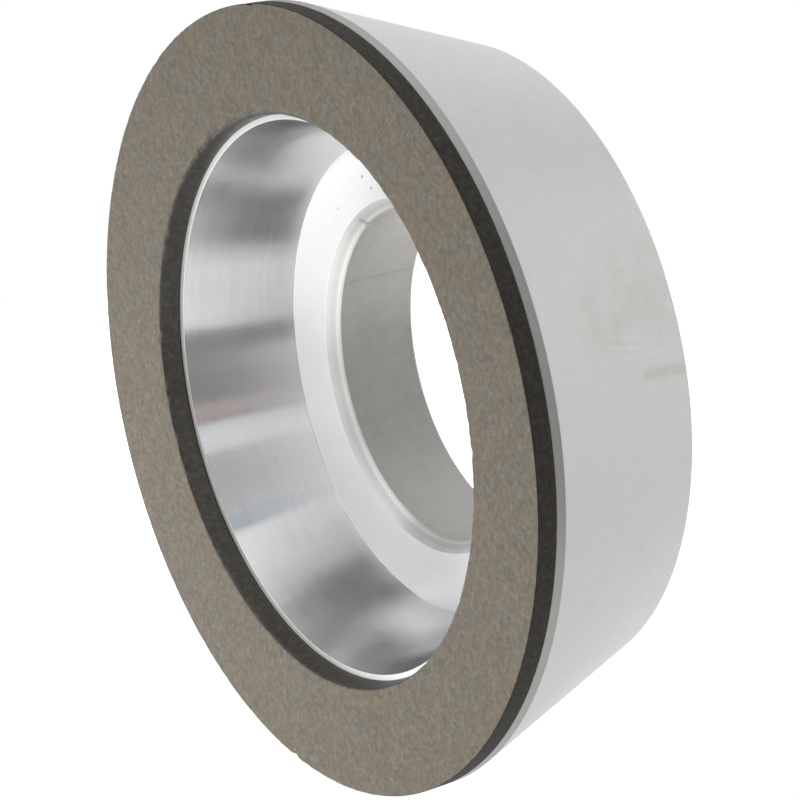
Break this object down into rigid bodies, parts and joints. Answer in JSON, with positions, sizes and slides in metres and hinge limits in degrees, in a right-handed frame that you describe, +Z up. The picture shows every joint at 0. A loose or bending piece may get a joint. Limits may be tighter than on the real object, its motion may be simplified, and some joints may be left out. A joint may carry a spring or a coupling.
{
  "type": "diamond grinding wheel",
  "caption": "Flaring-cup diamond grinding wheel: turned aluminium core with a plain bore and a recessed clamping floor, faced with a flat resin-bonded diamond ring.",
  "frame": {"origin": "centre of the wheel, on its axis, halfway between the grinding face and the mounting face", "axes": "+Y along the wheel's axis towards the mounting face, so the grinding face looks towards -Y; +Z up with the wheel standing on its rim"},
  "size_m": [0.075, 0.022, 0.075],
  "materials": {
    "turned_aluminium": "fine-turned, satin outside and bright inside the cup",
    "adhesive": "cured dark epoxy film",
    "resin_bonded_diamond": "fine granular, matte taupe with sparse bright grit"
  },
  "bodies": {
    "root": {"core_body": "turned_aluminium", "bond_layer": "adhesive", "diamond_rim": "resin_bonded_diamond"}
  },
  "joints": []
}
